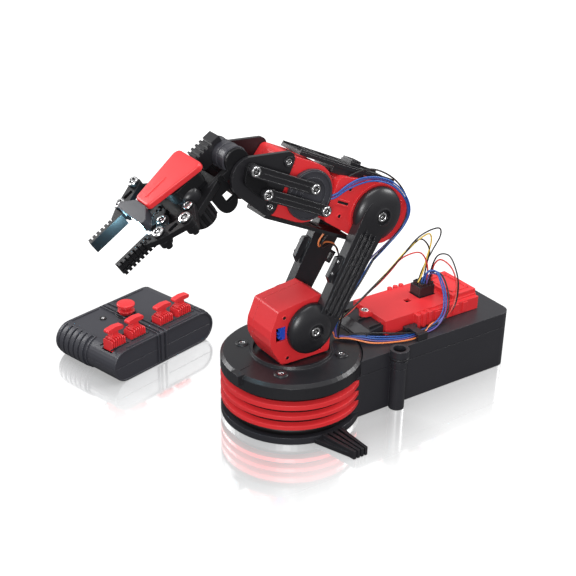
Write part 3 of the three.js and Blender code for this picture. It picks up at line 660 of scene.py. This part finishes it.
for level, (y, z) in zip(("upper", "lower"), PINS):
    bars = Piece(f"{level}_rod_details", CRANK)
    for side in BOTH:
        bars.add(rim([(y, z, 3.9), (y - 50, z, 3.9)], 1.0, side * 24.8, side * 25.6), BLACK)
        bars.add(box((side * 24.8, side * 25.3), (y - 44, y - 6), (z - 0.5, z + 0.5)), BLACK)
    bars.done(f"{level}_rods", soft=0.15)


# ---------------------------------------------------------------- hand
def hand_cover():
    """Long tapered cover: a flat top with rolled sides, widest at the wrist end."""
    outline = hull([(11.4, -22.2, 3.7), (-11.4, -22.2, 3.7), (5.7, -57.6, 2.7), (-5.7, -57.6, 2.7)], 28)
    middle = Vector((0, -38))
    levels = ((0.9, 27.0), (0.985, 27.0), (1.0, 27.8), (1.0, 30.0), (0.985, 30.7), (0.955, 31.05),
              (0.92, 31.15), (0.5, 31.2))
    bm = bmesh.new()
    rings = []
    for share, height in levels:
        ring = []
        for p in outline:
            q = middle + (Vector(p) - middle) * share
            ring.append(bm.verts.new((q.x, q.y, height)))
        rings.append(ring)
    count = len(outline)
    for below, above in zip(rings, rings[1:]):
        for i in range(count):
            j = (i + 1) % count
            bm.faces.new((below[i], below[j], above[j], above[i]))
    bm.faces.new(rings[0])
    bm.faces.new(rings[-1])
    return bm


cover = Piece("hand_shell", HAND)
cover.add(hand_cover(), RED)
cover.add(slab([(-0.3, -38.5), (0.3, -38.5), (0.9, -56), (-0.9, -56)], 31.0, 31.65), RED)
cover.done("hand", soft=0.25, replaces=("hand_cover",))

grip = Piece("hand_details", HAND)
for x in (-11.6, -4.2, 3.0, 10.4):
    hoop = [(8.6, x), (9.1, x + 0.2), (9.1, x + 1.2), (8.6, x + 1.4)]
    grip.add(turned(hoop, "x", 0, 13.5, 48), CHARCOAL)
for i in range(12):
    t = 2 * math.pi * i / 12
    x, y = 7 + 8.4 * math.cos(t), -36.5 + 8.4 * math.sin(t)
    grip.add(turned(washer(0, 0.9, -6.4, 8.3), "z", x, y, 12), BLACK)
HUB = [(0, 12.8), (7.9, 12.8), (7.9, 18.0), (7.4, 19.6), (6.2, 20.9), (4.4, 21.7), (4.4, 22.6), (3.6, 23.0),
       (0, 23.2)]
grip.add(turned(HUB, "z", 7.6, -36.2, 48), BLACK)
grip.done("hand", soft=0.2)


# ---------------------------------------------------------------- controller
LEVER_XS, LEVER_Y = (-39, -18.7, 10.3, 29.8), -20.5
PIVOT_Z, DRUM = 22, 11.7
BLADE_GAP, BLADE_HALF = 2.05, 0.45
KNOB_PLACE = (-1, 9)
PAD_HALF, PAD_TOP, CORNER = 33.5, 26, 2
END_X, END_Z, END_RADIUS = -39, 13, 13


def lever_head(piece, x, y):
    """Ribbed drum in the slot, waisted stem and a rounded thumb bar."""
    core = [(x, 21.2), *arc(x, PIVOT_Z, 8.8, 44, 136, 12)]
    piece.add(slab(core, y - 3.9, y + 3.9, "y"), RED)
    for i in range(-3, 4):
        across = BLADE_GAP * i
        top = PIVOT_Z + math.sqrt(DRUM ** 2 - across ** 2)
        blade = [(y - 5.2, 23), (y + 5.2, 23), (y + 5.2, top - 1.2), (y + 4.2, top), (y - 4.2, top),
                 (y - 5.2, top - 1.2)]
        piece.add(slab(blade, x + across - BLADE_HALF, x + across + BLADE_HALF, "x"), RED)
    stem = [(x - 5.2, 32), (x + 5.2, 32), (x + 3.0, 34.8), (x + 2.6, 38.2), (x - 2.6, 38.2), (x - 3.0, 34.8)]
    piece.add(slab(stem, y - 1.8, y + 1.8, "y"), RED)
    bar = hull([(x - 6.0, 39.2, 1.7), (x + 6.0, 39.2, 1.7), (x, 39.9, 1.7)])
    piece.add(slab(bar, y - 2.6, y + 2.6, "y"), RED)


for number, x in enumerate(LEVER_XS, 1):
    paddle = Piece(f"paddle_{number}", PAD)
    lever_head(paddle, x, LEVER_Y)
    paddle.done(f"lever_{number}", soft=0.2, replaces=(f"lever_{number}",))

knob = Piece("knob", PAD)
KNOB = [(0, 19), (3, 19), (3, 24.5), (6.6, 29.6), (6.6, 30.4), (3.1, 31.2), (3.1, 33.0), (6.4, 33.4),
        (7.2, 34.0), (7.2, 35.4), (6.6, 36.0), (3.0, 36.5), (0, 36.6)]
KNOB_RIB = [(2.8, 24.4), (3.6, 24.4), (6.9, 29.4), (6.9, 30.0), (2.8, 30.0)]
knob.add(turned(KNOB, "z", *KNOB_PLACE, 40), RED)
for i in range(12):
    where = Matrix.Translation((*KNOB_PLACE, 0)) @ Matrix.Rotation(2 * math.pi * i / 12, 4, "Z")
    knob.add(moved(slab(KNOB_RIB, -0.5, 0.5, "y"), where), RED)
knob.done("lever_round", soft=0.25, replaces=("lever_round",))


def strap(low, high, grow, thick):
    """A rib that wraps the controller across its depth: over the top and down both long faces."""
    lines = []
    for offset in (grow + thick, grow):
        side, shoulder = PAD_HALF + offset, PAD_TOP - CORNER
        lines.append([
            (-side, 1.2), (-side, shoulder + offset * 0.4),
            *arc(-PAD_HALF + CORNER, shoulder, CORNER + offset, 180, 90, 5)[1:],
            *arc(PAD_HALF - CORNER, shoulder, CORNER + offset, 90, 0, 5),
            (side, 1.2),
        ])
    outer, inner = lines
    return slab(outer + inner[::-1], low, high, "x")


def end_band(start, end, inner, outer, steps):
    """Section of a rib round the controller's rounded end, between two angles and two radii."""
    return arc(END_X, END_Z, outer, start, end, steps) + arc(END_X, END_Z, inner, start, end, steps)[::-1]


pad = Piece("controller_ribs", PAD)
for x, width in ((-7.4, 1.0), (-4.4, 2.6), (0.4, 1.6)):
    pad.add(strap(x, x + width, -0.2, 1.5), CHARCOAL)
HALF_TURN = Matrix.Rotation(math.pi, 4, "Z")
grip_ribs = [(1.8 + 5.7 * i, 3.9, 1.3) for i in range(5)]
for y, width, rise in [*grip_ribs, (-2.2, 1.2, 0.8), (30.6, 1.2, 0.8)]:
    band = end_band(104, 242, 12.8, END_RADIUS + rise, 18)
    for where in (WORLD, HALF_TURN):
        pad.add(moved(slab(band, y, y + width, "y"), where), CHARCOAL)
for where in (WORLD, HALF_TURN):
    pad.add(moved(slab(end_band(98, 104, 12.8, 13.8, 3), -2.2, 31.8, "y"), where), CHARCOAL)
for face in (-1, 1):
    pad.add(rim([(END_X, END_Z, 13.1), (-END_X, END_Z, 13.1)], 1.5, face * 33.3, face * 34.3, "y"), CHARCOAL)
for xs in ((-37, -10), (6, 37)):
    for ys in ((31.2, 32.4), (-32.4, -31.2)):
        pad.add(box(xs, ys, (25.8, 26.8)), CHARCOAL)
for x in LEVER_XS:
    # Painted shade in each lever's slot.
    pad.add(box((x - 8.2, x + 8.2), (LEVER_Y - 5.8, LEVER_Y + 5.8), (17.4, 18.6)), PAINTED_SHADE)
    for y in (LEVER_Y - 6.4, LEVER_Y + 5.8):
        pad.add(box((x - 9.2, x + 9.2), (y, y + 0.6), (25.6, 26.9)), BLACK)
pad.add(turned([(7.6, 25.7), (8.8, 25.7), (8.6, 26.9), (7.6, 26.9)], "z", *KNOB_PLACE, 36), BLACK)
pad.done("controller", soft=0.25)

led = Piece("controller_lamp", PAD)
LED_PLACE = (-18.5, 16.5)
# A dark ring round the lamp: painted shade.
led.add(turned([(1.6, 25.8), (2.8, 25.8), (2.6, 26.8), (1.6, 26.8)], "z", *LED_PLACE, 20), PAINTED_SHADE)
led.add(turned([(0, 25.8), (1.5, 25.8), (1.3, 27.0), (0, 27.4)], "z", *LED_PLACE, 20), BRIGHT)
led.done("controller", soft=0.1)


# ---------------------------------------------------------------- wires
WIRE_RADIUS = 0.62


def wires(name, body, runs):
    """One bundle of wires in the rest pose: each run is (colour, points) in the frame's own axes."""
    piece = Piece(name)
    for colour, points in runs:
        piece.add(tube(points, WIRE_RADIUS), WIRE[colour])
    return piece.done(body, soft=0)


plug_wires = wires("plug_wires", "base", [
    ("black", [(-5, 119, 68), (-4, 121.5, 78), (-3, 129, 92), (-3, 136, 103), (-3, 132.6, 109.7),
               (-3, 115, 106.7), (-3, 97.9, 93.1), (-4, 81, 78.7), (-6, 68.4, 68), (-8, 56, 58),
               (-9, 44, 50), (-8, 34, 48.8)]),
    ("yellow", [(-3, 117, 68), (-3, 120.3, 74), (-3, 124.2, 88), (-3, 127.2, 100.7), (-3, 123, 107),
                (-3, 105.8, 99.6), (-4, 91, 87), (-5, 76, 74), (-8, 61, 61), (-11, 47, 50),
                (-10, 35, 48.6)]),
    ("black", [(-2, 121, 68), (-3, 124, 80), (-3, 126, 93.6), (-3, 117, 104.2), (-3, 105.8, 98.8),
               (-4.6, 90, 85.4), (-7, 72, 70), (-10, 58, 57), (-12, 46, 49.6), (-11, 36, 48.4)]),
    ("red", [(0, 123, 68), (-2, 124.5, 80), (-3, 120.1, 90.4), (-3, 112.4, 94.3), (-3, 99, 92.6),
             (-3.6, 90, 84.6), (-4.4, 80.9, 77), (-6, 70, 69), (-9, 57, 56), (-13, 44, 49),
             (-13, 36, 48.4)]),
    ("black", [(1, 125, 68), (2, 125, 80), (6, 127, 92), (13, 132, 93), (20, 134, 82), (23.4, 134, 70),
               (24.4, 131, 57), (24.6, 123, 50), (25, 112, 48.4)]),
    ("red", [(1, 127, 68), (3, 126, 82), (8, 128, 89), (15, 133, 84), (21, 134, 73), (24, 131, 60),
             (25.2, 124, 51), (26.4, 112, 48.6)]),
])
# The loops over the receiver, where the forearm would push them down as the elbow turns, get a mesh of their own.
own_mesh(plug_wires)
wires("lid_wires", "base", [
    ("blue", [(0, 117, 68), (2, 120, 77), (9, 123, 81), (17, 121.5, 76), (23.2, 120.5, 66),
              (26.4, 117, 55), (28.6, 106, 49.0), (28.6, 90, 48.0), (27.6, 78, 48), (22, 64, 48.6),
              (14, 52, 49), (7, 42, 49), (4, 34, 49.4)]),
    ("blue", [(1, 119, 68), (3, 121, 79), (10, 124.5, 80), (18.5, 123, 74.5), (24.3, 121.6, 65),
              (27.6, 118, 54.4), (30.0, 106, 48.4), (30.2, 90, 47.8), (29.4, 77, 47.6),
              (23.6, 61.6, 48.2), (15, 50, 49.4), (8.6, 41, 49.6), (5.8, 34, 50)]),
    ("purple", [(2, 121, 68), (4, 122.5, 77), (11, 125, 77.5), (19, 124, 72), (24.8, 122, 63),
                (28.4, 117, 53.4), (31.6, 106, 47.8), (32, 90, 47.2), (31, 76, 47.2), (25, 60, 47.6),
                (17, 49, 49), (10, 40, 50.2), (7.4, 34, 50.6)]),
    ("black", [(2, 123, 68), (5, 124, 78.5), (12, 126.5, 78.5), (20.6, 125, 72.5), (25.6, 123.6, 63),
               (28.4, 119, 52), (30.4, 105, 49.8), (30.8, 90, 49.0), (26, 74, 50.4), (19, 62, 51),
               (11, 48, 50.6), (8, 35, 50)]),
    ("orange", [(25, 112, 48.6), (29, 104, 50.2), (33.6, 92, 47.4), (34.4, 80, 47.2), (30, 64, 47.6),
                (24, 52.5, 48), (14, 42, 49.8), (6, 34, 49)]),
])

# Wires that cross a joint are put on neither of its two bodies.
elbow_wires = wires("elbow_wires", None, [
    ("blue", [(13, 18.0, 164.8), (16.4, 23.4, 167.0), (17, 30.8, 171.2), (17, 41.4, 173.8),
              (17, 54.1, 172.6), (17.4, 67.3, 167.4), (18, 77.9, 158.3), (18, 84.7, 147.5),
              (17.4, 86.0, 137.7), (16.6, 80.6, 128.0), (15, 71, 118.6), (12, 60, 108)]),
    ("blue", [(13, 16.4, 163.0), (16.4, 21.6, 164.2), (17.2, 29.8, 168.0), (17.4, 41.6, 170.4),
              (17.8, 53.4, 170.2), (18.6, 65.6, 165.8), (19.4, 75.6, 157.4), (19.6, 82.2, 147.2),
              (19, 83.2, 137.6), (17.8, 78.2, 127.6), (15.8, 69, 117.6), (13, 59, 107)]),
    ("purple", [(12, 17.4, 164.0), (15.8, 23.0, 165.8), (16.4, 30.6, 169.4), (16.2, 42.2, 172.0),
                (16.2, 54.0, 171.2), (16.4, 66.8, 166.2), (17, 77.2, 157.4), (17.4, 83.4, 147.0),
                (17, 84.2, 137.4), (16.2, 79.2, 128), (14, 70, 118.6), (11, 58, 108)]),
    ("black", [(11, 22.4, 167.0), (12, 29.2, 171.9), (12, 39.4, 176.0), (12, 53.4, 176.8),
               (12.4, 66.7, 171.4), (13.6, 78.3, 161.6), (15.6, 84.6, 149.5), (17.0, 83.6, 137.0),
               (16.8, 76.0, 125.4), (14, 60, 110)]),
])
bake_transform(elbow_wires)
under_elbow = wires("under_elbow_wires", None, [
    ("orange", [(-4, 30, 131), (-5, 25, 124), (-6, 26, 119), (-8, 33, 120), (-9, 41, 116),
                (-9, 46, 106)]),
    ("black", [(-2, 32, 130), (-3, 27, 124), (-4, 27, 118.6), (-6, 34, 118.6), (-7.4, 42, 114),
               (-7.4, 45, 104)]),
])
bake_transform(under_elbow)

wires("upper_arm_wires", "upper_arm", [
    ("blue", [(12, 60, 108), (11, 50, 94), (10, 41, 84), (9, 35, 76)]),
    ("blue", [(13, 59, 107), (12, 49, 93), (11.4, 41, 83), (11, 36, 75.6)]),
    ("purple", [(11, 58, 108), (9.4, 48, 94), (8, 40, 85), (7, 34, 77)]),
    ("black", [(14, 60, 110), (13.6, 50, 95), (13, 42, 84), (12.6, 37, 76)]),
    ("orange", [(-9, 46, 106), (-6, 44, 92), (-3, 39, 84), (-1, 34, 76)]),
    ("black", [(-7.4, 45, 104), (-4.6, 43, 90), (-1, 38, 83), (1.4, 33.4, 76)]),
])
shoulder_wires = wires("shoulder_wires", None, [
    ("blue", [(9, 35, 76), (7.4, 32.6, 68), (5, 32.6, 59), (4, 34, 49.4)]),
    ("blue", [(11, 36, 75.6), (9.6, 34, 68), (7.4, 33.4, 59), (5.8, 34, 50)]),
    ("purple", [(7, 34, 77), (6.2, 32, 69), (7, 32.4, 60), (7.4, 34, 50.6)]),
    ("black", [(12.6, 37, 76), (11.6, 35, 68), (9.6, 34.6, 59), (8, 35, 50)]),
    ("orange", [(-1, 34, 76), (0, 32, 68), (3, 32, 58), (6, 34, 49)]),
    ("black", [(1.4, 33.4, 76), (0, 32, 68), (-4, 32.4, 58), (-8, 34, 48.8)]),
])
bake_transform(shoulder_wires)


# ---------------------------------------------------------------- stage, lights and camera
FLOOR_HALF, FLOOR_DROP = 6, 0.0002
FLOOR_LIFT = 0.72
FLOOR_MIRROR, MIRROR_GAIN = 0.5, 2.2
FLOOR_SEEN = 0.13
ROOM_LIGHT = 0.5
# Distances from a footprint over which the mirror image fades out and the floor turns fully white.
MIRROR_FADE = (0.005, 0.075)
WHITE_FADE = (0.02, 0.14)
# Centre and half sizes of what stands on the floor: round base, battery box and controller.
FOOTPRINTS = ((0, 0, 0.05, 0.05), (0, 0.11, 0.039, 0.067), (*PAD_PLACE, 0.034, 0.047))
# Name, place, diameter and power of each soft light.
LIGHTS = (
    ("overhead", (0.0, 0.05, 1.2), 0.9, 9),
    ("key_front", (0.95, -0.75, 0.5), 0.45, 11),
    ("side_fill", (-0.9, -0.5, 0.5), 0.5, 5),
    ("rim_back", (0.3, 1.1, 0.7), 0.5, 7),
)
LIT_POINT = Vector((0, 0.01, 0.09))
LAMP_POWER, LAMP_SIZE, LAMP_COLOUR = 0.13, 0.003, (0.42, 0.82, 1.0)
LAMP_PLACE = Vector((0, -0.0745, 0.019))
SENSOR, LENS = 36, 70.09
AZIMUTH, ELEVATION, ROLL = math.radians(55.97), math.radians(26.71), math.radians(0.95)
LOOK_AT, DISTANCE = Vector((-0.02295, 0.01172, 0.08294)), 0.8057


def near_footprints(n):
    """Distance over the floor to the nearest footprint."""
    nearest = None
    for x, y, half_x, half_y in FOOTPRINTS:
        value = n.coords
        for operation, vector in (
            ("SUBTRACT", (x, y, 0)), ("ABSOLUTE", None), ("SUBTRACT", (half_x, half_y, 1)),
            ("MAXIMUM", (0, 0, 0)), ("LENGTH", None),
        ):
            step = n.add("ShaderNodeVectorMath", operation=operation)
            n.join(value, step.inputs[0])
            if vector:
                step.inputs[1].default_value = vector
            value = step.outputs["Value" if operation == "LENGTH" else "Vector"]
        if nearest is not None:
            least = n.add("ShaderNodeMath", operation="MINIMUM")
            n.join(nearest, least.inputs[0])
            n.join(value, least.inputs[1])
            value = least.outputs[0]
        nearest = value
    return nearest


def floor_material():
    """White acrylic with a soft mirror image, as the camera sees it. Other rays meet a plain grey floor."""
    n = Nodes("floor_white")
    white = n.mix(n.noise(3, 2), (0.24, 0.24, 0.24), (0.26, 0.26, 0.26))
    matt = n.add("ShaderNodeBsdfDiffuse")
    n.join(white, matt.inputs["Color"])
    lift = n.add("ShaderNodeEmission")
    distance = near_footprints(n)
    n.join(n.remap(distance, *WHITE_FADE, FLOOR_LIFT, 1), lift.inputs["Strength"])
    lit = n.add("ShaderNodeAddShader")
    n.join(matt.outputs[0], lit.inputs[0])
    n.join(lift.outputs[0], lit.inputs[1])
    mirror = n.add("ShaderNodeBsdfGlossy")
    mirror.inputs["Color"].default_value = (MIRROR_GAIN, MIRROR_GAIN, MIRROR_GAIN, 1)
    n.join(n.remap(n.noise(12, 2), *NOISE_RANGE, 0.07, 0.10), mirror.inputs["Roughness"])
    top = n.add("ShaderNodeMixShader")
    n.join(n.remap(distance, *MIRROR_FADE, FLOOR_MIRROR, 0), top.inputs[0])
    n.join(lit.outputs[0], top.inputs[1])
    n.join(mirror.outputs[0], top.inputs[2])
    unseen = n.add("ShaderNodeBsdfDiffuse")
    unseen.inputs["Color"].default_value = (FLOOR_SEEN, FLOOR_SEEN, FLOOR_SEEN, 1)
    whole = n.add("ShaderNodeMixShader")
    n.join(n.add("ShaderNodeLightPath").outputs["Is Camera Ray"], whole.inputs[0])
    n.join(unseen.outputs[0], whole.inputs[1])
    n.join(top.outputs[0], whole.inputs[2])
    output = next(node for node in n.tree.nodes if node.type == "OUTPUT_MATERIAL")
    n.join(whole.outputs[0], output.inputs["Surface"])
    return n.material


floor_mesh = bpy.data.meshes.new("floor")
corners = [(x * FLOOR_HALF, y * FLOOR_HALF, 0) for x, y in ((-1, -1), (1, -1), (1, 1), (-1, 1))]
floor_mesh.from_pydata(corners, [], [(0, 1, 2, 3)])
floor_mesh.materials.append(floor_material())
floor = bpy.data.objects.new("floor", floor_mesh)
floor.location.z = -FLOOR_DROP
bpy.context.scene.collection.objects.link(floor)

# The camera sees a white background, and the room lights the arm with less than that.
world = bpy.data.worlds.new("studio")
world.use_nodes = True
background = world.node_tree.nodes["Background"]
background.inputs["Color"].default_value = (1, 1, 1, 1)
strength = world.node_tree.nodes.new("ShaderNodeMapRange")
strength.inputs["To Min"].default_value = ROOM_LIGHT
ray = world.node_tree.nodes.new("ShaderNodeLightPath")
world.node_tree.links.new(ray.outputs["Is Camera Ray"], strength.inputs["Value"])
world.node_tree.links.new(strength.outputs["Result"], background.inputs["Strength"])
bpy.context.scene.world = world
bpy.context.scene.view_settings.view_transform = "Standard"

for name, place, size, power in LIGHTS:
    light = bpy.data.lights.new(name, "AREA")
    light.shape = "DISK"
    light.size = size
    light.energy = power
    softbox = bpy.data.objects.new(name, light)
    softbox.location = place
    softbox.rotation_euler = (LIT_POINT - Vector(place)).to_track_quat("-Z", "Y").to_euler()
    bpy.context.scene.collection.objects.link(softbox)

glow = bpy.data.lights.new("lamp_beam", "POINT")
glow.energy = LAMP_POWER
glow.shadow_soft_size = LAMP_SIZE
glow.color = LAMP_COLOUR
lamp = bpy.data.objects.new("lamp_beam", glow)
lamp.location = HAND @ LAMP_PLACE
bpy.context.scene.collection.objects.link(lamp)
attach(lamp, "hand")

camera = bpy.data.objects.new("camera", bpy.data.cameras.new("camera"))
camera.data.sensor_width = SENSOR
camera.data.lens = LENS
back = Vector((math.sin(AZIMUTH) * math.cos(ELEVATION), -math.cos(AZIMUTH) * math.cos(ELEVATION),
               math.sin(ELEVATION)))
right = Vector((math.cos(AZIMUTH), math.sin(AZIMUTH), 0))
up = back.cross(right)
rolled_right = right * math.cos(ROLL) + up * math.sin(ROLL)
rolled_up = up * math.cos(ROLL) - right * math.sin(ROLL)
turn = Matrix((rolled_right, rolled_up, back)).transposed().to_4x4()
camera.matrix_world = Matrix.Translation(LOOK_AT + back * DISTANCE) @ turn
bpy.context.scene.collection.objects.link(camera)
bpy.context.scene.camera = camera

bpy.context.view_layer.update()
